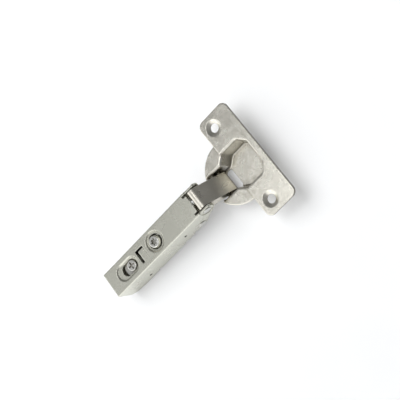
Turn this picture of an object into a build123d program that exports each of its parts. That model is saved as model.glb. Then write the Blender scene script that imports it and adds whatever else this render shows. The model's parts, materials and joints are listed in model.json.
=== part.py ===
from build123d import *
import os
from math import atan2, cos, degrees, hypot, radians, sin

# Clip-on concealed cabinet hinge, lying open at a right angle.
# Frame: origin at the centre of the round cup on the top face of its flange,
# X away from the arm, Y along the line of the two flange screws, Z out of the cup.

os.makedirs("parts", exist_ok=True)

# Fits and sheets
running_fit = 0.05
piece_gap = 0.35
cup_sheet = 1.0
arm_sheet = 1.2
outer_link_sheet = 1.1
inner_link_sheet = 1.0
adapter_sheet = 1.1

# Cup flange
plate_length = 62.2
plate_width = 20.0
plate_near_x = -0.8
plate_corner = 3.6
edge_round = 0.7
pocket_rim_round = 1.3
screw_pitch = 48.0
screw_line_x = 6.0
screw_hole_radius = 2.4
countersink_radius = 4.5
countersink_depth = 1.2
screw_land = 0.5
dimple_wall = 0.7

# Drawn cup
cup_radius = 17.5
cup_depth = 11.5
rim_step = 0.9
rim_lip_depth = 2.2
pocket_far_x = 15.2
pocket_far_half = 6.6
pocket_side_half = 11.2
pocket_side_far_x = 11.0
pocket_side_near_x = 0.4
throat_x = -4.4
throat_half = 7.6
throat_near_x = -15.2
pocket_draft = 1.1
pocket_corner = 1.5
floor_round = 0.8
notch_depth = 10.75
floor_slot_near_x = -8.6
floor_slot_far_x = -4.4
floor_slot_half = 5.7

# Pivots of the two links, as X and Z
arm_outer_x = -21.4
arm_outer_z = 7.7
arm_inner_x = -32.3
arm_inner_z = -1.6
cup_outer_x = -10.2
cup_outer_z = -6.5
cup_inner_x = -13.2
cup_inner_z = -7.6
arm_pin_radius = 1.5
cup_pin_radius = 1.0
cup_pin_reach = 0.3
pin_head_radius = 2.4
pin_head_height = 0.4
pin_head_round = 0.3

# Outer link
outer_link_play = 0.55
knuckle_radius = 3.5
outer_eye_radius = 1.9
web_rise = 2.7
web_overrun = 1.8
flange_low = 3.0
waist_back = 3.0
waist_low = 1.3

# Inner link
spring_room = 2.95
inner_eye_radius = 2.5
inner_bar_half = 1.35
open_pivot_along = 0.2
open_pivot_across = 0.82
open_eye_wall = 0.45

# Arm channel, with places along it from its rear edge and down from its top
arm_rear_x = -90.9
arm_top_z = 11.3
arm_width = 14.9
arm_top_length = 66.3
arm_fold_round = 0.6
arm_rear_depth = 13.0
arm_mid_depth = 17.0
arm_mid_x = 10.0
arm_chamfer_x = 2.5
arm_chamfer_depth = 16.0
arm_front_depth = 15.6
arm_front_x = 60.0
ear_chin_x = 67.5
ear_chin_depth = 9.8
ear_radius = 4.3
ear_top_drop = 0.5
relief_length = 2.2
relief_width = 1.2
coin_radius = 4.0
coin_depth = 0.25
wall_hole_radius = 0.95
wall_hole_rear_x = 17.0
wall_hole_rear_z = -11.9
wall_hole_front_x = 48.9
wall_hole_front_z = -8.1
edge_notch_radius = 1.3
edge_notch_rear_x = 21.8
edge_notch_mid_x = 44.2
edge_notch_front_x = 51.8

# Rear slot, corner slot and front recess in the top of the arm
slot_recess_start = 6.5
slot_recess_end = 22.3
slot_recess_half = 4.7
slot_start = 10.2
slot_end = 21.0
slot_half = 3.3
emboss_depth = 0.8
emboss_slope = 0.7
corner_slot_x = 23.6
corner_slot_end_x = 29.2
corner_slot_y = 3.7
corner_slot_low_y = -4.1
corner_slot_long_width = 1.7
corner_slot_short_width = 1.2
crease_width = 0.3
crease_depth = 0.15
front_recess_x = 36.8
front_recess_radius = 5.75
front_hole_radius = 4.1

# Adjusting screws
side_screw_x = 36.5
side_head_radius = 3.6
side_head_top_radius = 2.9
side_head_height = 1.5
side_head_proud = 0.5
side_shank_radius = 2.0
side_shank_length = 8.5
star_radius = 1.9
star_notch_radius = 0.55
star_points = 6
star_depth = 1.1
cam_x = 17.3
cam_head_radius = 2.9
cam_disc_radius = 5.8
cam_disc_height = 0.8
cam_peg_radius = 1.1
cam_peg_offset = 1.6
cross_width = 1.0
cross_length = 4.0
cross_depth = 0.9

# Adapter channel that clips on the mounting plate
adapter_rear_x = 2.5
adapter_front_x = 50.0
adapter_top = 4.4
adapter_depth = 16.2
adapter_nose = 3.0
washer_outer = 5.0
washer_sheet = 0.55
bush_radius = 3.4
depth_travel = 1.0
bush_collar = 0.9
bush_collar_height = 0.6
bush_height = 3.2
hook_x = 44.5
hook_z = -13.2
hook_radius = 2.1
latch_pivot_x = 8.5
latch_pivot_z = -8.9
latch_pin_radius = 1.0
latch_eye_radius = 2.1
latch_half_width = 3.2
latch_hook_x = 13.5
latch_hook_z = -15.0
latch_tab_x = 1.8
latch_tab_z = -13.5
latch_sheet = 1.5

# Wire springs
spring_wire = 0.75
spring_pitch = 0.78
spring_turns = 1
spring_leg = 6.0
seat_radius = 0.7
latch_wire = 0.5
latch_pitch = 0.55
latch_turns = 3
latch_leg = 4.0

# Derived places
arm_half = arm_width / 2
arm_inside = arm_half - arm_sheet
adapter_half = arm_inside - piece_gap
adapter_inside = adapter_half - adapter_sheet
outer_half_width = arm_inside - outer_link_play
inner_half_width = arm_inside - spring_room
arm_outer = (arm_outer_x, arm_outer_z)
arm_inner = (arm_inner_x, arm_inner_z)
cup_outer = (cup_outer_x, cup_outer_z)
cup_inner = (cup_inner_x, cup_inner_z)
spring_radius = arm_pin_radius + 2 * running_fit + spring_wire
far_out = plate_length + arm_top_length


def arm_place(x, z):
    """X and Z of a place given from the rear edge and the top face of the arm."""
    return (arm_rear_x + x, arm_top_z + z)


def box(x0, x1, y0, y1, z0, z1):
    """Box between two corners."""
    centre = Pos((x0 + x1) / 2, (y0 + y1) / 2, (z0 + z1) / 2)
    return centre * Box(x1 - x0, y1 - y0, z1 - z0)


def rod(at, radius, y0, y1):
    """Round bar along Y through a place in X and Z."""
    bar = Rot(90, 0, 0) * Cylinder(radius, y1 - y0)
    return Pos(at[0], (y0 + y1) / 2, at[1]) * bar


def post(x, y, radius, z0, z1):
    """Round bar along Z."""
    return Pos(x, y, (z0 + z1) / 2) * Cylinder(radius, z1 - z0)


def side_plate(points, half_width):
    """Plate with an outline in X and Z, centred on Y."""
    face = Plane.XZ * Polygon(*points, align=None)
    return extrude(face, amount=half_width, both=True)


def between(solid, y0, y1):
    """The stretches of a solid from y0 to y1 on both sides of the middle."""
    right = box(-far_out, far_out, y0, y1, -far_out, far_out)
    left = box(-far_out, far_out, -y1, -y0, -far_out, far_out)
    return solid & (right + left)


def wire_bar(start, end, radius):
    """Straight round wire between two points."""
    run = Vector(*end) - Vector(*start)
    return extrude(Plane(start, z_dir=run) * Circle(radius), amount=run.length)


def along(start, end):
    """Length from one place to another, its unit vector, and the one square to it."""
    length = hypot(end[0] - start[0], end[1] - start[1])
    u = ((end[0] - start[0]) / length, (end[1] - start[1]) / length)
    return length, u, (-u[1], u[0])


def place(origin, u, n, s, t):
    """Place at s along u and t along n from an origin."""
    return (origin[0] + s * u[0] + t * n[0], origin[1] + s * u[1] + t * n[1])


def pocket_outline(grow, z):
    """Eight-cornered outline of the pocket with its narrow throat."""
    half = [
        (pocket_far_x, pocket_far_half),
        (pocket_side_far_x, pocket_side_half),
        (pocket_side_near_x, pocket_side_half),
        (throat_x, throat_half),
        (throat_near_x, throat_half),
    ]
    mirrored = [(x, -y) for x, y in reversed(half)]
    face = Polygon(*half, *mirrored, align=None)
    if grow:
        face = offset(face, amount=grow, kind=Kind.INTERSECTION)
    return Pos(0, 0, z) * fillet(face.vertices(), pocket_corner)


def pocket_space():
    """Drafted room inside the cup, with a rounded floor edge."""
    space = loft([pocket_outline(-pocket_draft, cup_sheet - cup_depth), pocket_outline(0, 0)])
    return fillet(space.faces().sort_by(Axis.Z)[0].edges(), floor_round)


def rounded_top(plate):
    """The plate with the outer edges of its top face rounded."""
    return fillet(plate.faces().sort_by(Axis.Z)[-1].outer_wire().edges(), edge_round)


def pocketed(plate, top):
    """The plate with the pocket cut down through it, the rim of the pocket rounded."""
    blank = box(-far_out, far_out, -far_out, far_out, top - cup_depth, top) - pocket_space()
    rim = blank.faces().sort_by(Axis.Z)[-1].inner_wires()[0].edges()
    return plate & fillet(rim, pocket_rim_round)


def screw_cone(y, grow, top):
    """Cone of one countersunk hole, grown by a wall for its lower side."""
    cone = Cone(screw_hole_radius + grow, countersink_radius + grow, countersink_depth)
    return Pos(screw_line_x, y, top - countersink_depth / 2) * cone


def flange_plate():
    """Flat plate with dished screw holes, open where the pocket goes down."""
    outline = Pos(plate_near_x + plate_width / 2, 0, 0) * RectangleRounded(
        plate_width, plate_length, plate_corner
    )
    plate = pocketed(rounded_top(extrude(outline, amount=-cup_sheet)), 0)
    below = box(-far_out, far_out, -far_out, far_out, -cup_depth, -cup_sheet)
    for y in (-screw_pitch / 2, screw_pitch / 2):
        plate += screw_cone(y, dimple_wall, -screw_land) & below
        plate -= screw_cone(y, 0, 0)
        plate -= post(screw_line_x, y, screw_hole_radius, -cup_depth, cup_depth)
    return plate


def locating_rim():
    """Round lip on the near side that centres the cup in its bore."""
    disc = rounded_top(post(0, 0, cup_radius, -rim_step - rim_lip_depth, -rim_step))
    disc -= post(0, 0, cup_radius - cup_sheet, -far_out, -rim_step - cup_sheet)
    near_half = box(-far_out, plate_near_x, -far_out, far_out, -far_out, 0)
    inner = cup_radius - 2 * cup_sheet
    overlap = box(plate_near_x, plate_near_x + edge_round, -inner, inner, -far_out, 0)
    return pocketed(disc & (near_half + overlap), -rim_step)


def pocket_wall():
    """Drawn wall and floor round the pocket."""
    top = pocket_outline(cup_sheet, -cup_sheet)
    bottom = pocket_outline(cup_sheet - pocket_draft, -cup_depth)
    wall = loft([bottom, top])
    wall = fillet(wall.faces().sort_by(Axis.Z)[0].edges(), floor_round + cup_sheet / 2)
    wall &= Pos(0, 0, -cup_depth / 2) * Cylinder(cup_radius, 2 * cup_depth)
    wall -= box(-far_out, plate_near_x, -far_out, far_out, -rim_step - edge_round, 0)
    return wall - pocket_space()


def hinge_cup():
    """Drawn steel cup in one piece with its flange."""
    cup = flange_plate() + locating_rim() + pocket_wall()
    throat_floor = throat_half - pocket_draft
    cup -= box(-far_out, throat_near_x + pocket_draft + cup_sheet, -throat_floor, throat_floor,
               -notch_depth, cup_depth)
    cup -= box(-far_out, throat_near_x + piece_gap, -throat_half, throat_half, -notch_depth, cup_depth)
    slot_length = floor_slot_far_x - floor_slot_near_x
    slot = RectangleRounded(slot_length, 2 * floor_slot_half, pocket_corner)
    cup -= Pos(floor_slot_near_x + slot_length / 2, 0, -cup_depth) * extrude(slot, amount=cup_sheet, both=True)
    for pivot in (cup_outer, cup_inner):
        cup -= rod(pivot, cup_pin_radius, -cup_radius, cup_radius)
    return cup


def outer_link():
    """Folded outer link: a web that rolls over at the arm, between two eyed flanges."""
    length, u, n = along(arm_outer, cup_outer)
    web_start = place(arm_outer, u, n, 0, knuckle_radius)
    web_end = place(arm_outer, u, n, length + web_overrun, web_rise)
    _, wu, wn = along(web_start, web_end)
    side = side_plate(
        [
            web_start,
            web_end,
            place(cup_outer, u, n, outer_eye_radius, 0),
            place(cup_outer, u, n, 0, -outer_eye_radius),
            place(cup_outer, u, n, -waist_back, -waist_low),
            place(arm_outer, u, n, 0, -flange_low),
        ],
        outer_half_width,
    )
    side += rod(cup_outer, outer_eye_radius, -outer_half_width, outer_half_width)
    side += rod(arm_outer, knuckle_radius, -outer_half_width, outer_half_width)
    below = side_plate(
        [
            place(arm_outer, u, n, -2 * knuckle_radius, 0),
            place(arm_outer, u, n, 0, 0),
            place(web_start, wu, wn, 0, -outer_link_sheet),
            place(web_end, wu, wn, length, -outer_link_sheet),
            place(arm_outer, u, n, 2 * length, -length),
            place(arm_outer, u, n, -2 * knuckle_radius, -length),
        ],
        outer_half_width - outer_link_sheet,
    )
    inside = knuckle_radius - outer_link_sheet
    below += rod(arm_outer, inside, outer_link_sheet - outer_half_width, outer_half_width - outer_link_sheet)
    link = side - below
    link -= rod(arm_outer, arm_pin_radius + running_fit, -arm_width, arm_width)
    return link - rod(cup_outer, cup_pin_radius + running_fit, -arm_width, arm_width)


def long_eye(at, u, n, reach, radius, half_width):
    """Bar with round ends, stretched along a link about a pivot."""
    ends = [place(at, u, n, -reach, 0), place(at, u, n, reach, 0)]
    bar = side_plate(
        [
            place(ends[0], u, n, 0, radius),
            place(ends[1], u, n, 0, radius),
            place(ends[1], u, n, 0, -radius),
            place(ends[0], u, n, 0, -radius),
        ],
        half_width,
    )
    for end in ends:
        bar += rod(end, radius, -half_width, half_width)
    return bar


def inner_link():
    """Folded inner link: two eyed flanges joined by a web on the lower side."""
    length, u, n = along(arm_inner, cup_inner)
    bore = cup_pin_radius + running_fit + open_pivot_across
    eye = bore + open_eye_wall
    body = side_plate(
        [
            place(arm_inner, u, n, 0, inner_bar_half),
            place(cup_inner, u, n, 0, inner_bar_half),
            place(cup_inner, u, n, 0, -eye),
            place(arm_inner, u, n, 0, -inner_eye_radius),
        ],
        inner_half_width,
    )
    body += rod(arm_inner, inner_eye_radius, -inner_half_width, inner_half_width)
    body += long_eye(cup_inner, u, n, open_pivot_along, eye, inner_half_width)
    inside = inner_half_width - inner_link_sheet
    room = side_plate(
        [
            place(arm_inner, u, n, -length, inner_eye_radius * 2),
            place(cup_inner, u, n, length, inner_eye_radius * 2),
            place(cup_inner, u, n, length, -eye - inner_link_sheet),
            place(cup_inner, u, n, -eye - open_pivot_along, inner_link_sheet - eye),
            place(arm_inner, u, n, inner_eye_radius, inner_link_sheet - inner_eye_radius),
            place(arm_inner, u, n, -length, inner_link_sheet - inner_eye_radius),
        ],
        inside,
    )
    body -= room
    seat = place(arm_inner, u, n, spring_leg, spring_radius - spring_wire / 2 - piece_gap - seat_radius)
    ledge = rod(seat, seat_radius, -arm_inside + piece_gap, arm_inside - piece_gap)
    body += between(ledge, inside, arm_inside - piece_gap)
    body -= rod(arm_inner, arm_pin_radius + running_fit, -arm_width, arm_width)
    return body - long_eye(cup_inner, u, n, open_pivot_along, bore, arm_width)


def arm_outline():
    """Side outline of the arm, with the ear round the outer pivot."""
    tip_x = arm_outer_x - arm_rear_x
    tip_z = arm_outer_z - arm_top_z
    ring = [
        (tip_x + ear_radius * cos(radians(a)), tip_z + ear_radius * sin(radians(a)))
        for a in range(-60, 61, 20)
    ]
    below = [
        (0, 0),
        (0, -arm_rear_depth),
        (arm_chamfer_x, -arm_chamfer_depth),
        (arm_mid_x, -arm_mid_depth),
        (arm_front_x, -arm_front_depth),
        (ear_chin_x, -ear_chin_depth),
    ]
    above = [(arm_top_length, 0)]
    return [arm_place(x, z) for x, z in below + ring + above]


def slot_outline(x0, x1, half, depth):
    """Slot outline with round ends in the top of the arm, at a depth."""
    x, z = arm_place((x0 + x1) / 2, -depth)
    return Pos(x, 0, z) * SlotOverall(x1 - x0, 2 * half)


def slot_emboss(grow, depth):
    """Sloped oblong dish pressed into the top, grown and lowered for its lower side."""
    upper = slot_outline(
        slot_recess_start - grow, slot_recess_end + grow, slot_recess_half + grow, depth
    )
    lower = slot_outline(
        slot_recess_start + emboss_slope - grow,
        slot_recess_end - emboss_slope + grow,
        slot_recess_half - emboss_slope + grow,
        depth + emboss_depth,
    )
    return loft([lower, upper])


def round_emboss(grow, depth):
    """Sloped round dish pressed into the top."""
    x, z = arm_place(front_recess_x, -depth - emboss_depth / 2)
    radius = front_recess_radius + grow
    return Pos(x, 0, z) * Cone(radius - emboss_slope, radius, emboss_depth)


def top_cuts():
    """Slot, corner slot and round hole through the top, and the crease of the corner slot."""
    rear, top = arm_place(0, 0)
    deep = arm_sheet + 2 * emboss_depth
    cuts = extrude(slot_outline(slot_start, slot_end, slot_half, deep), amount=2 * deep)
    cuts += post(rear + front_recess_x, 0, front_hole_radius, top - deep, top + deep)
    x0 = rear + corner_slot_x
    x1 = rear + corner_slot_end_x
    z0 = top - deep
    z1 = top + deep
    cuts += box(x0, x0 + corner_slot_long_width, corner_slot_low_y, corner_slot_y, z0, z1)
    cuts += box(x0, x1, corner_slot_y - corner_slot_short_width, corner_slot_y, z0, z1)
    cuts += box(x1 - crease_width, x1, corner_slot_low_y, corner_slot_y, top - crease_depth, z1)
    return cuts


def wall_cuts():
    """Holes and edge notches of the side walls, and the coined rings round the ear pin."""
    cuts = rod(arm_place(wall_hole_rear_x, wall_hole_rear_z), wall_hole_radius, -arm_width, arm_width)
    cuts += rod(arm_place(wall_hole_front_x, wall_hole_front_z), wall_hole_radius, -arm_width, arm_width)
    drop = (arm_mid_depth - arm_front_depth) / (arm_front_x - arm_mid_x)
    for x in (edge_notch_rear_x, edge_notch_mid_x, edge_notch_front_x):
        edge = arm_mid_depth - drop * (x - arm_mid_x)
        cuts += rod(arm_place(x, -edge), edge_notch_radius, -arm_width, arm_width)
    coin = rod(arm_outer, coin_radius, -arm_width, arm_width)
    return cuts + between(coin, arm_half - coin_depth, arm_width)


def hinge_arm():
    """Folded steel arm: an open channel with two ears at the front."""
    arm = side_plate(arm_outline(), arm_half)
    folds = arm.edges().filter_by(Axis.X).filter_by(lambda e: e.center().Z > arm_top_z - running_fit)
    arm = fillet(folds, arm_fold_round)
    rear, top = arm_place(0, 0)
    arm -= box(rear - arm_width, far_out, -arm_inside, arm_inside, -far_out, top - arm_sheet)
    arm += slot_emboss(arm_sheet / 2, arm_sheet) + round_emboss(arm_sheet / 2, arm_sheet)
    front = rear + arm_top_length
    arm -= box(front, far_out, -arm_inside, arm_inside, -far_out, far_out)
    for side in (-1, 1):
        y = sorted((side * arm_inside, side * (arm_inside - relief_width)))
        arm -= box(front - relief_length, front + 1, y[0], y[1], top - 2 * arm_sheet, far_out)
    ear_top = box(front, far_out, -arm_half, arm_half, top - ear_top_drop, far_out)
    arm -= ear_top
    arm -= slot_emboss(0, 0) + round_emboss(0, 0) + top_cuts() + wall_cuts()
    for pivot in (arm_outer, arm_inner):
        arm -= rod(pivot, arm_pin_radius, -arm_width, arm_width)
    return arm


def headed_pin(at, seat_y):
    """Rivet pin across the arm with a domed head on each side."""
    pin = rod(at, arm_pin_radius, -seat_y, seat_y)
    for side in (-1, 1):
        y = sorted((side * seat_y, side * (seat_y + pin_head_height)))
        head = rod(at, pin_head_radius, y[0], y[1])
        outer = head.faces().sort_by(Axis.Y)[-1 if side > 0 else 0]
        pin += fillet(outer.edges(), pin_head_round)
    return pin


def cup_inner_pin():
    """Plain pin through both walls of the throat."""
    reach = throat_half + cup_sheet + cup_pin_reach
    return rod(cup_inner, cup_pin_radius, -reach, reach)


def cup_outer_rivet(side):
    """Short rivet that joins one flange of the outer link to the cup wall."""
    start = outer_half_width - outer_link_sheet - cup_pin_reach
    end = throat_half + cup_sheet + cup_pin_reach
    y = sorted((side * start, side * end))
    return rod(cup_outer, cup_pin_radius, y[0], y[1])


def wound_spring(at, turns, pitch, radius, wire, y0, roof, leg_run, leg_length):
    """Torsion spring round a pin: one leg up to a roof, the other along a direction."""
    drop = degrees(atan2(-leg_run[1], leg_run[0]))
    total = turns + (270 + drop) / 360
    frame = Plane((at[0], y0, at[1]), x_dir=(1, 0, 0), z_dir=(0, 1, 0))
    winding = frame * Helix(pitch, pitch * total, radius)
    foot = winding @ 0
    down = winding % 0
    up_leg = Line(foot + down * ((roof - foot.Z) / down.Z), foot)
    rise = winding @ 1
    out_leg = Line(rise, rise + (winding % 1) * leg_length)
    section = Plane(up_leg @ 0, z_dir=up_leg % 0) * Circle(wire / 2)
    return sweep(section, path=Wire([up_leg, winding, out_leg]))


def closing_spring():
    """Spring beside the inner link, pressing its seat down towards the closed place."""
    _, u, _ = along(arm_inner, cup_inner)
    y0 = inner_half_width + piece_gap / 2 + spring_wire / 2
    roof = arm_top_z - arm_sheet - running_fit
    return wound_spring(
        arm_inner, spring_turns, spring_pitch, spring_radius, spring_wire, y0, roof, u, spring_leg
    )


def plate_adapter():
    """Inner channel that clips on the mounting plate, with front hooks and a cam slot."""
    outline = [
        (adapter_rear_x, -adapter_top),
        (adapter_front_x, -adapter_top),
        (adapter_front_x, -(adapter_top + adapter_depth) / 2),
        (adapter_front_x - adapter_nose, -adapter_depth),
        (adapter_rear_x + adapter_nose, -adapter_depth),
        (adapter_rear_x, -(adapter_top + adapter_depth) / 2),
    ]
    body = side_plate([arm_place(x, z) for x, z in outline], adapter_half)
    rear, top = arm_place(0, -adapter_top)
    body -= box(rear, rear + arm_top_length, -adapter_inside, adapter_inside, -far_out, top - adapter_sheet)
    half = cam_peg_radius + piece_gap
    y0 = -half
    y1 = cam_peg_offset + half
    deep = 2 * adapter_sheet
    body -= box(rear + cam_x - half, rear + cam_x + half, y0, y1, top - deep, top + deep)
    travel = depth_travel + piece_gap
    bush_half = bush_radius + running_fit
    middle = rear + side_screw_x
    body -= box(middle - travel, middle + travel, -bush_half, bush_half, top - deep, top + deep)
    for x in (middle - travel, middle + travel):
        body -= post(x, 0, bush_half, top - deep, top + deep)
    hook = arm_place(hook_x, hook_z)
    body -= rod(hook, hook_radius, -arm_width, arm_width)
    body -= box(hook[0] - hook_radius, hook[0] + hook_radius, -arm_width, arm_width, -far_out, hook[1])
    return body - rod(arm_place(latch_pivot_x, latch_pivot_z), latch_pin_radius, -arm_width, arm_width)


def cam_washer():
    """Flat washer that slides on the adapter under the depth cam."""
    x, z = arm_place(cam_x, -adapter_top + piece_gap / 2)
    hole = cam_peg_offset + cam_peg_radius + piece_gap
    ring = post(x, 0, washer_outer, z, z + washer_sheet)
    return ring - post(x, 0, hole, z - 1, z + 1)


def screw_bush():
    """Collared bush round the shank of the side screw, which slides in a slot of the adapter."""
    x, z = arm_place(side_screw_x, -adapter_top)
    bush = post(x, 0, bush_radius, z + bush_collar_height - bush_height, z)
    bush += post(x, 0, bush_radius + bush_collar, z, z + bush_collar_height)
    return bush - post(x, 0, side_shank_radius + piece_gap, -far_out, far_out)


def star_recess(x, top):
    """Six-lobed drive recess."""
    star = post(x, 0, star_radius, top - star_depth, top + star_depth)
    for i in range(star_points):
        a = radians(360 * (i + 0.5) / star_points)
        star -= post(x + star_radius * cos(a), star_radius * sin(a), star_notch_radius,
                     top - star_depth, top + star_depth)
    return star


def side_screw():
    """Side adjusting screw with a tapered head and a star recess."""
    x, top = arm_place(side_screw_x, side_head_proud)
    head = Cone(side_head_radius, side_head_top_radius, side_head_height)
    head = Pos(x, 0, top - side_head_height / 2) * head
    head = fillet(head.faces().sort_by(Axis.Z)[-1].edges(), side_head_proud)
    screw = head + post(x, 0, side_shank_radius, top - side_head_height - side_shank_length,
                        top - side_head_height)
    return screw - star_recess(x, top)


def depth_cam():
    """Depth adjusting cam: slotted head, disc under the arm and an offset peg below."""
    disc_drop = emboss_depth + arm_sheet + piece_gap
    x, disc_top = arm_place(cam_x, -disc_drop)
    head_top = disc_top + disc_drop - emboss_slope / 2
    cam = post(x, 0, cam_head_radius, disc_top, head_top)
    cam = fillet(cam.faces().sort_by(Axis.Z)[-1].edges(), emboss_slope / 2)
    disc_low = disc_top - cam_disc_height
    cam += post(x, 0, cam_disc_radius, disc_low, disc_top)
    peg_low = arm_place(0, -adapter_top - adapter_sheet)[1]
    cam += post(x, cam_peg_offset, cam_peg_radius, peg_low, disc_low)
    half = cross_length / 2
    slot = cross_width / 2
    for dx, dy in ((half, slot), (slot, half)):
        cam -= box(x - dx, x + dx, -dy, dy, head_top - cross_depth, far_out)
    return cam


def clip_latch():
    """Release lever: two cheeks on a pin, joined by a thumb tab, with hooks at the front."""
    pivot = arm_place(latch_pivot_x, latch_pivot_z)
    outline = [
        (latch_pivot_x, latch_pivot_z + latch_eye_radius),
        (latch_pivot_x + latch_eye_radius, latch_pivot_z),
        (latch_hook_x, latch_hook_z),
        (latch_hook_x - latch_sheet, latch_hook_z - latch_sheet / 2),
        (latch_pivot_x, latch_hook_z + latch_sheet),
        (latch_tab_x, latch_tab_z - latch_sheet),
        (latch_tab_x, latch_tab_z),
        (latch_pivot_x - latch_eye_radius, latch_pivot_z),
    ]
    body = side_plate([arm_place(x, z) for x, z in outline], latch_half_width)
    body += rod(pivot, latch_eye_radius, -latch_half_width, latch_half_width)
    inside = latch_half_width - latch_sheet
    front = arm_place(latch_tab_x + latch_sheet, 0)[0]
    body -= box(front, far_out, -inside, inside, -far_out, far_out)
    return body - rod(pivot, latch_pin_radius + running_fit, -arm_width, arm_width)


def latch_pin():
    """Pin across the adapter that carries the release lever."""
    return rod(arm_place(latch_pivot_x, latch_pivot_z), latch_pin_radius, -adapter_half, adapter_half)


def latch_spring():
    """Small torsion spring that holds the release lever shut."""
    pivot = arm_place(latch_pivot_x, latch_pivot_z)
    radius = latch_pin_radius + 2 * running_fit + latch_wire
    y0 = -latch_pitch * latch_turns / 2 - latch_wire
    roof = arm_place(0, -adapter_top - adapter_sheet)[1] - running_fit
    return wound_spring(
        pivot, latch_turns, latch_pitch, radius, latch_wire, y0, roof, (1, 0), latch_leg
    )


def save(name, solid):
    """Write one node."""
    export_step(solid, os.path.join("parts", name + ".step"))


def main():
    spring = closing_spring()
    nodes = {
        "hinge_cup": hinge_cup(),
        "cup_inner_pin": cup_inner_pin(),
        "cup_outer_rivet_left": cup_outer_rivet(1),
        "cup_outer_rivet_right": cup_outer_rivet(-1),
        "outer_link": outer_link(),
        "inner_link": inner_link(),
        "hinge_arm": hinge_arm(),
        "arm_outer_pin": headed_pin(arm_outer, arm_half - coin_depth),
        "arm_inner_pin": headed_pin(arm_inner, arm_half),
        "closing_spring_left": spring,
        "closing_spring_right": mirror(spring, about=Plane.XZ),
        "side_screw": side_screw(),
        "depth_cam": depth_cam(),
        "cam_washer": cam_washer(),
        "plate_adapter": plate_adapter(),
        "screw_bush": screw_bush(),
        "clip_latch": clip_latch(),
        "latch_pin": latch_pin(),
        "latch_spring": latch_spring(),
    }
    for name, solid in nodes.items():
        save(name, solid)


main()
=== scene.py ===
# %% [markdown]
# A clip-on hinge for a cabinet door, lying open on a pale table. Its round cup sits in a bore in the
# door, its long folded arm clips on a plate inside the cabinet, and two links join them. Every metal
# piece arrives from the drawing with its true size, so this lesson only has to light it and give each
# piece its own plated finish.

import json
from math import radians

import bpy
from mathutils import Matrix, Vector


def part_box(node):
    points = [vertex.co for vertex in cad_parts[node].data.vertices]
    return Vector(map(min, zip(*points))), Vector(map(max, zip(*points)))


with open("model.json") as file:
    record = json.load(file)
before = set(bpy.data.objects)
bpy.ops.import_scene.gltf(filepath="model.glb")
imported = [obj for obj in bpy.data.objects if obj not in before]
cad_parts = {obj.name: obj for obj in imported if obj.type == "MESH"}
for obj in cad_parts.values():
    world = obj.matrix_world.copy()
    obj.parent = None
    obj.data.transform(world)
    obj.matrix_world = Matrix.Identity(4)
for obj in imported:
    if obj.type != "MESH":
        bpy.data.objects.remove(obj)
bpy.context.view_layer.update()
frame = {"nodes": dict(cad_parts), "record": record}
nodes = frame["nodes"]
print("pieces of the hinge:", len(nodes))

# %% [markdown]
# The door side of the cup is one end of the hinge and the rear of the arm is the other. Reading both
# from the pieces themselves keeps the lamp over the middle if the hinge is ever redrawn.

# %% Measure the hinge
millimetre = 0.001
cup_low, cup_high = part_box("hinge_cup")
arm_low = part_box("hinge_arm")[0]
middle = Vector(((arm_low.x + cup_high.x) / 2, 0, 0))
print("cup depth in mm:", round((cup_high.z - cup_low.z) / millimetre, 2))

# %% [markdown]
# The photograph looks down on the open hinge from half a metre away, with the arm running to the lower
# left of the picture. A camera needs a place, a point to look at and a turn about its own axis. A turn
# of a little over a right angle puts the door side of the hinge at the upper right.

# %% Place the camera
picture_width = 400
focal_pixels = 1041.5
sensor_width = 36
camera_place = Vector((183.82, -162.96, 464.73)) * millimetre
look_at = Vector((-26.795, 3.961, 0)) * millimetre
camera_turn = radians(-93.354)
centre_shift = 5

view = bpy.data.cameras.new("overhead camera")
view.sensor_width = sensor_width
view.lens = focal_pixels / picture_width * sensor_width
view.shift_x = centre_shift / picture_width
camera = bpy.data.objects.new("overhead camera", view)
bpy.context.scene.collection.objects.link(camera)
aim = (look_at - camera_place).to_track_quat("-Z", "Y").to_matrix().to_4x4()
camera.matrix_world = Matrix.Translation(camera_place) @ aim @ Matrix.Rotation(camera_turn, 4, "Z")
bpy.context.scene.camera = camera
print("lens in mm:", round(view.lens, 2))

# %% [markdown]
# Plated steel is never one flat colour. Under the plating the strip keeps a fine rolled grain, the bath
# leaves it a little cloudy, and handling dulls it in patches. Each of those could be painted, but a
# noise texture in the piece's own millimetres does it with four numbers and has no seam. These small
# helpers each add one step to a material, so that the finishes below read like recipes.

# %% Helper for one noise texture
def cloud(tree, place, size, detail, stretch=(1, 1, 1), busy=0.5):
    """Noise with blotches about size metres across, drawn out by stretch; busy adds fine speckle."""
    mapping = tree.nodes.new("ShaderNodeMapping")
    mapping.inputs["Scale"].default_value = [1 / s for s in stretch]
    noise = tree.nodes.new("ShaderNodeTexNoise")
    noise.inputs["Scale"].default_value = 1 / size
    noise.inputs["Detail"].default_value = detail
    noise.inputs["Roughness"].default_value = busy
    tree.links.new(place, mapping.inputs["Vector"])
    tree.links.new(mapping.outputs["Vector"], noise.inputs["Vector"])
    return noise.outputs["Fac"]


# %% Helper that spreads a noise between two values
noise_low = 0.38
noise_high = 0.62


def spread(tree, noise, low, high):
    """A value between low and high where the noise goes from its dark to its bright parts."""
    ranged = tree.nodes.new("ShaderNodeMapRange")
    ranged.inputs["From Min"].default_value = noise_low
    ranged.inputs["From Max"].default_value = noise_high
    ranged.inputs["To Min"].default_value = low
    ranged.inputs["To Max"].default_value = high
    tree.links.new(noise, ranged.inputs["Value"])
    return ranged.outputs["Result"]


print("noise is spread between", noise_low, "and", noise_high)


# %% Helper that blends two colours
def blend_colours(tree, factor, dark, bright):
    """A colour between dark and bright, in linear light."""
    mix = tree.nodes.new("ShaderNodeMix")
    mix.data_type = "RGBA"
    mix.inputs["A"].default_value = (*dark, 1)
    mix.inputs["B"].default_value = (*bright, 1)
    tree.links.new(factor, mix.inputs["Factor"])
    return mix.outputs["Result"]


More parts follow.
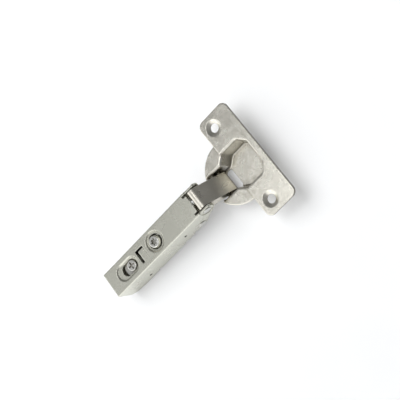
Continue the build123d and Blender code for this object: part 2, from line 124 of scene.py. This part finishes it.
# %% Helper for one step of arithmetic
def reckon(tree, operation, first, second=0):
    """One operation on an output and either another output or a plain number."""
    step = tree.nodes.new("ShaderNodeMath")
    step.operation = operation
    tree.links.new(first, step.inputs[0])
    if isinstance(second, bpy.types.NodeSocket):
        tree.links.new(second, step.inputs[1])
    else:
        step.inputs[1].default_value = second
    return step.outputs["Value"]


# %% [markdown]
# The colour of the plating drifts between a dark and a bright tone. Where two faces meet in a tight
# inside corner or close in a gap, little light gets in, so shade is painted into the colour there. An
# ambient occlusion node finds those corners by itself, so nobody has to mark them, and paints them a
# brownish shade.

# %% Colour of the plating, with painted shade in corners
blotch_size = 3 * millimetre
blotch_detail = 6
blotch_speckle = 0.85
# Brownish tint of the painted shade in corners and gaps.
corner_shade_tint = (0.22, 0.19, 0.14)
crease_samples = 8


def plating_colour_and_shade(tree, place, dark, bright, crease):
    """Cloudy colour with painted shade, a brownish dark in corners that are closed within crease
    millimetres.
    """
    patches = cloud(tree, place, blotch_size, blotch_detail, busy=blotch_speckle)
    clean = blend_colours(tree, spread(tree, patches, 0, 1), dark, bright)
    # Painted shade: ambient occlusion darkens corners and gaps, where little light falls, to a brownish
    # tone.
    creases = tree.nodes.new("ShaderNodeAmbientOcclusion")
    creases.samples = crease_samples
    creases.inputs["Distance"].default_value = crease * millimetre
    painted_shade = tree.nodes.new("ShaderNodeMix")
    painted_shade.data_type = "RGBA"
    painted_shade.inputs["A"].default_value = (*[tone * tint for tone, tint in zip(dark, corner_shade_tint)], 1)
    tree.links.new(clean, painted_shade.inputs["B"])
    tree.links.new(creases.outputs["AO"], painted_shade.inputs["Factor"])
    return painted_shade.outputs["Result"]


print("blotches of", blotch_size / millimetre, "mm")

# %% [markdown]
# Rolled strip has long shallow grain with small pits in it, and every sheared edge of a real stamping
# is a little round, which a drawing leaves out. Grain that fine would need millions of faces as a
# shape, so it is a bump in the shader, laid over a shader bevel that rounds the light on the edges.

# %% Surface of rolled steel
grain_size = 0.35 * millimetre
grain_detail = 6
pit_size = 0.12 * millimetre
pit_detail = 2
edge_samples = 6


def rolled_surface(tree, place, grain_way, relief, edge):
    """Grain and pits that are relief millimetres deep, on edges rounded by edge millimetres."""
    grain = cloud(tree, place, grain_size, grain_detail, grain_way)
    pits = cloud(tree, place, pit_size, pit_detail)
    rounded = tree.nodes.new("ShaderNodeBevel")
    rounded.samples = edge_samples
    rounded.inputs["Radius"].default_value = edge * millimetre
    bump = tree.nodes.new("ShaderNodeBump")
    bump.inputs["Strength"].default_value = 1
    bump.inputs["Distance"].default_value = relief * millimetre
    tree.links.new(reckon(tree, "MULTIPLY", grain, pits), bump.inputs["Height"])
    tree.links.new(rounded.outputs["Normal"], bump.inputs["Normal"])
    return bump.outputs["Normal"]


print("grain of", grain_size / millimetre, "mm")

# %% Plated metal
haze_size = 2 * blotch_size
haze_detail = 1


def plated_metal(name, dark, bright, smooth, rough, grain_way=(1, 1, 1),
                 relief=0.004, edge=0.15, crease=4):
    """Plated steel: cloudy colour with painted shade in corners, uneven gloss, rolled grain along
    grain_way and rounded edges.
    """
    metal = bpy.data.materials.new(name)
    metal.use_nodes = True
    tree = metal.node_tree
    shader = tree.nodes["Principled BSDF"]
    shader.inputs["Metallic"].default_value = 1
    place = tree.nodes.new("ShaderNodeTexCoord").outputs["Object"]
    colour = plating_colour_and_shade(tree, place, dark, bright, crease)
    gloss = spread(tree, cloud(tree, place, haze_size, haze_detail), smooth, rough)
    surface = rolled_surface(tree, place, grain_way, relief, edge)
    tree.links.new(colour, shader.inputs["Base Color"])
    tree.links.new(gloss, shader.inputs["Roughness"])
    tree.links.new(surface, shader.inputs["Normal"])
    return metal


# %% [markdown]
# The cup, the arm and the links are all satin nickel, but each is stamped from its own strip, so each
# has its own tone and grain. The cup is drawn deep, which leaves its skin rougher and its edges
# rounder. The links are warmer. Screws are the brightest, in polished zinc, and the springs are plain
# drawn wire, which is the darkest.

# %% Mix the finishes
along_arm = (6, 1, 1)
across_cup = (1, 6, 1)
finishes = {
    "nickel_cup": plated_metal(
        "satin nickel of the cup", dark=(0.66, 0.64, 0.57), bright=(0.81, 0.79, 0.72),
        smooth=0.22, rough=0.28, grain_way=across_cup, relief=0.03, edge=0.45, crease=5),
    "nickel_arm": plated_metal(
        "satin nickel of the arm", dark=(0.69, 0.69, 0.61), bright=(0.72, 0.72, 0.64),
        smooth=0.265, rough=0.275, grain_way=along_arm, edge=0.6, crease=2.5),
    "nickel_link": plated_metal(
        "nickel of the links", dark=(0.76, 0.73, 0.65), bright=(0.82, 0.79, 0.71),
        smooth=0.27, rough=0.31, grain_way=along_arm, relief=0.002, edge=0.4),
    "pin_steel": plated_metal(
        "bright pin steel", dark=(0.62, 0.62, 0.59), bright=(0.74, 0.74, 0.71),
        smooth=0.20, rough=0.30),
    "screw_steel": plated_metal(
        "bright zinc of the screws", dark=(0.80, 0.80, 0.76), bright=(0.88, 0.88, 0.84),
        smooth=0.14, rough=0.20, crease=2.5),
    "adapter_steel": plated_metal(
        "nickel of the clip-on channel", dark=(0.52, 0.52, 0.48), bright=(0.60, 0.60, 0.55),
        smooth=0.30, rough=0.42, grain_way=along_arm),
    "spring_steel": plated_metal(
        "drawn spring wire", dark=(0.34, 0.34, 0.34), bright=(0.46, 0.46, 0.45),
        smooth=0.28, rough=0.40),
}
print("finishes:", ", ".join(sorted(finishes)))

# %% [markdown]
# The flange was sheared from the strip, and the cut edge of a stamping is torn and rough. Its dark
# tone here is partly that and partly painted shade, where the upright edge mirrors the table in the
# hinge's shadow. Painting it by hand would need marked faces. The shader can pick it out instead,
# because it stands upright and lies farther from the cup's axis than the round cup does.

# %% Find the sheared edge of the flange
clear_of_cup = 17.6 * millimetre
upright_below = 0.5


def sheared_edge(tree):
    """1 on upright faces that lie outside the round cup, else 0."""
    here = tree.nodes.new("ShaderNodeTexCoord")
    level = tree.nodes.new("ShaderNodeVectorMath")
    level.operation = "MULTIPLY"
    level.inputs[1].default_value = (1, 1, 0)
    from_axis = tree.nodes.new("ShaderNodeVectorMath")
    from_axis.operation = "LENGTH"
    facing = tree.nodes.new("ShaderNodeSeparateXYZ")
    tree.links.new(here.outputs["Object"], level.inputs[0])
    tree.links.new(level.outputs["Vector"], from_axis.inputs[0])
    tree.links.new(here.outputs["Normal"], facing.inputs["Vector"])
    outside = reckon(tree, "GREATER_THAN", from_axis.outputs["Value"], clear_of_cup)
    steepness = reckon(tree, "ABSOLUTE", facing.outputs["Z"])
    standing = reckon(tree, "LESS_THAN", steepness, upright_below)
    return reckon(tree, "MULTIPLY", outside, standing)


print("edge lies beyond", round(clear_of_cup / millimetre, 1), "mm")

# %% Darken the sheared edge, partly as painted shade
# Dark tone of the sheared edge: partly its rough cut, partly painted shade.
cut_edge_shade = (0.16, 0.15, 0.13)


def darken_sheared_edge(metal):
    """Blend the plating of a metal into the dark tone of a cut edge, which is partly painted shade."""
    tree = metal.node_tree
    shader = tree.nodes["Principled BSDF"]
    plating = shader.inputs["Base Color"].links[0].from_socket
    blend = tree.nodes.new("ShaderNodeMix")
    blend.data_type = "RGBA"
    blend.inputs["B"].default_value = (*cut_edge_shade, 1)
    tree.links.new(plating, blend.inputs["A"])
    tree.links.new(sheared_edge(tree), blend.inputs["Factor"])
    tree.links.new(blend.outputs["Result"], shader.inputs["Base Color"])


darken_sheared_edge(finishes["nickel_cup"])
print("dark edge on:", finishes["nickel_cup"].name)

# %% [markdown]
# The record that came with the hinge names a finish for each piece, so one short loop dresses them all
# and no piece is forgotten.

# %% Put each finish on its pieces
slot_of = {row["node"]: row["material_slot"] for row in frame["record"]["subparts"]}
for name, piece in nodes.items():
    piece.data.materials.clear()
    piece.data.materials.append(finishes[slot_of[name]])
print("dressed:", len(slot_of), "pieces")

# %% [markdown]
# The hinge doesn't lie flat. The underside of its cup and the rear corner of its arm touch the table,
# so the table leans a few degrees against the drawing's own level. The two lines that touch are found
# in the pieces, and the table is a plain sheet through both.

# %% Find the two edges that the hinge rests on
touch = 0.05 * millimetre


def rear_foot(piece):
    """The rearmost of the points that lie lowest on a piece, moved to the middle of the hinge."""
    points = [piece.matrix_world @ corner.co for corner in piece.data.vertices]
    lowest = min(point.z for point in points)
    return Vector((min(point.x for point in points if point.z < lowest + touch), 0, lowest))


rest_front = rear_foot(nodes["hinge_cup"])
rest_rear = rear_foot(nodes["hinge_arm"])
print("rests on", rest_front, "and", rest_rear)

# %% Find the lean of the table
table_run = (rest_front - rest_rear).normalized()
table_normal = table_run.cross(Vector((0, 1, 0)))
print("table leans", table_normal)

# %% Lay the table
reach = 0.6
clearance = 0.05 * millimetre
table_mesh = bpy.data.meshes.new("pale table")
corners = [(-reach, -reach, 0), (reach, -reach, 0), (reach, reach, 0), (-reach, reach, 0)]
table_mesh.from_pydata(corners, [], [(0, 1, 2, 3)])
table = bpy.data.objects.new("pale table", table_mesh)
bpy.context.scene.collection.objects.link(table)
lean = Vector((0, 0, 1)).rotation_difference(table_normal).to_matrix().to_4x4()
table.matrix_world = Matrix.Translation(rest_front - table_normal * clearance) @ lean
print("table placed at", rest_front)

# %% [markdown]
# The table is near-white coated board. Under a soft lamp it would come out light grey, and more light
# would burn out the metal, so the board also gets a small share of its own glow wherever the camera
# sees it or the metal mirrors it. The rest stays paint, which keeps the shadow of the hinge.

# %% Tell which rays see the table
def seen_or_mirrored(tree):
    """1 for a ray from the camera, from a mirroring surface or through glass, else 0."""
    rays = tree.nodes.new("ShaderNodeLightPath")
    found = rays.outputs["Is Camera Ray"]
    for kind in ("Is Glossy Ray", "Is Transmission Ray"):
        found = reckon(tree, "MAXIMUM", found, rays.outputs[kind])
    return found


# %% Pale table surface
mottle_size = 40 * millimetre
mottle_detail = 2
board_dark = (0.93, 0.94, 0.95)
board_bright = (0.95, 0.96, 0.97)
board_roughness = 0.8
glow_share = 0.2


def pale_table():
    """Near white and matt, with the faint mottle of coated board."""
    board = bpy.data.materials.new("pale table")
    board.use_nodes = True
    tree = board.node_tree
    shader = tree.nodes["Principled BSDF"]
    place = tree.nodes.new("ShaderNodeTexCoord").outputs["Object"]
    mottle = spread(tree, cloud(tree, place, mottle_size, mottle_detail), 0, 1)
    colour = blend_colours(tree, mottle, board_dark, board_bright)
    tree.links.new(colour, shader.inputs["Base Color"])
    shader.inputs["Roughness"].default_value = board_roughness
    glow = tree.nodes.new("ShaderNodeEmission")
    glow.inputs["Strength"].default_value = 1
    lifted = tree.nodes.new("ShaderNodeMixShader")
    share = reckon(tree, "MULTIPLY", seen_or_mirrored(tree), glow_share)
    tree.links.new(share, lifted.inputs["Fac"])
    tree.links.new(shader.outputs["BSDF"], lifted.inputs[1])
    tree.links.new(glow.outputs["Emission"], lifted.inputs[2])
    tree.links.new(lifted.outputs["Shader"], tree.nodes["Material Output"].inputs["Surface"])
    return board


table.data.materials.append(pale_table())
print("share of glow:", glow_share)

# %% [markdown]
# One broad soft lamp hangs over the upper left of the picture, so the shadow falls soft to the lower
# right. The metal doesn't mirror it, because a square patch of light on the arm would look hard. A
# weaker panel straight above fills the shadow in, and that one the metal may mirror.

# %% Helper for a soft lamp
def soft_lamp(name, place, width, power):
    """A square soft box at place that shines towards the middle of the hinge."""
    light = bpy.data.lights.new(name, "AREA")
    light.shape = "SQUARE"
    light.size = width
    light.energy = power
    lamp = bpy.data.objects.new(name, light)
    bpy.context.scene.collection.objects.link(lamp)
    lamp.location = place
    lamp.rotation_euler = (middle - place).to_track_quat("-Z", "Y").to_euler()
    return lamp


# %% Hang the lamp and the panel
lamp_offset = Vector((-0.08, 0.38, 0.75))
lamp_width = 0.7
lamp_power = 4.9
picture_left = Vector((-0.74, 0.67, 0))
panel_shift = 0.06
panel_height = 1
panel_width = 0.6
panel_power = 2.0
panel_place = picture_left * panel_shift + Vector((0, 0, panel_height))

main_lamp = soft_lamp("main lamp", middle + lamp_offset, lamp_width, lamp_power)
main_lamp.visible_glossy = False
top_panel = soft_lamp("top panel", panel_place, panel_width, panel_power)
print("main lamp at", main_lamp.location, "and panel at", top_panel.location)

# %% [markdown]
# Satin metal shows the room it lies in more than it shows its own colour. This room is one smooth
# run of grey. It is dim beyond the cup and brightens beyond the rear of the arm, as beside a window,
# so each face of the hinge takes its tone from the way it leans.

# %% Light the room
bright_side = Vector((-0.954, -0.3, 0))
room_tones = {0.0: 0.16, 0.3: 0.24, 0.55: 0.33, 0.69: 0.40, 0.76: 1.0, 0.88: 1.6}

room = bpy.data.worlds.new("pale room")
bpy.context.scene.world = room
room.use_nodes = True
wires = room.node_tree
heading = wires.nodes.new("ShaderNodeTexCoord").outputs["Generated"]
towards = wires.nodes.new("ShaderNodeVectorMath")
towards.operation = "DOT_PRODUCT"
towards.inputs[1].default_value = bright_side
wires.links.new(heading, towards.inputs[0])
along_run = wires.nodes.new("ShaderNodeMapRange")
along_run.inputs["From Min"].default_value = -1
wires.links.new(towards.outputs["Value"], along_run.inputs["Value"])
print("bright side of the room:", bright_side)

# %% Paint the run of greys
greys = wires.nodes.new("ShaderNodeValToRGB")
ramp = greys.color_ramp.elements
for place in list(room_tones)[1:-1]:
    ramp.new(place)
for stop, (place, tone) in zip(ramp, room_tones.items()):
    stop.position = place
    stop.color = (tone, tone, tone, 1)
wires.links.new(along_run.outputs["Result"], greys.inputs["Fac"])
wires.links.new(greys.outputs["Color"], wires.nodes["Background"].inputs["Color"])
print("greys of the room:", len(ramp))

# %% [markdown]
# The Standard view shows each colour as it was mixed, with no film curve over it.

bpy.context.scene.view_settings.view_transform = "Standard"
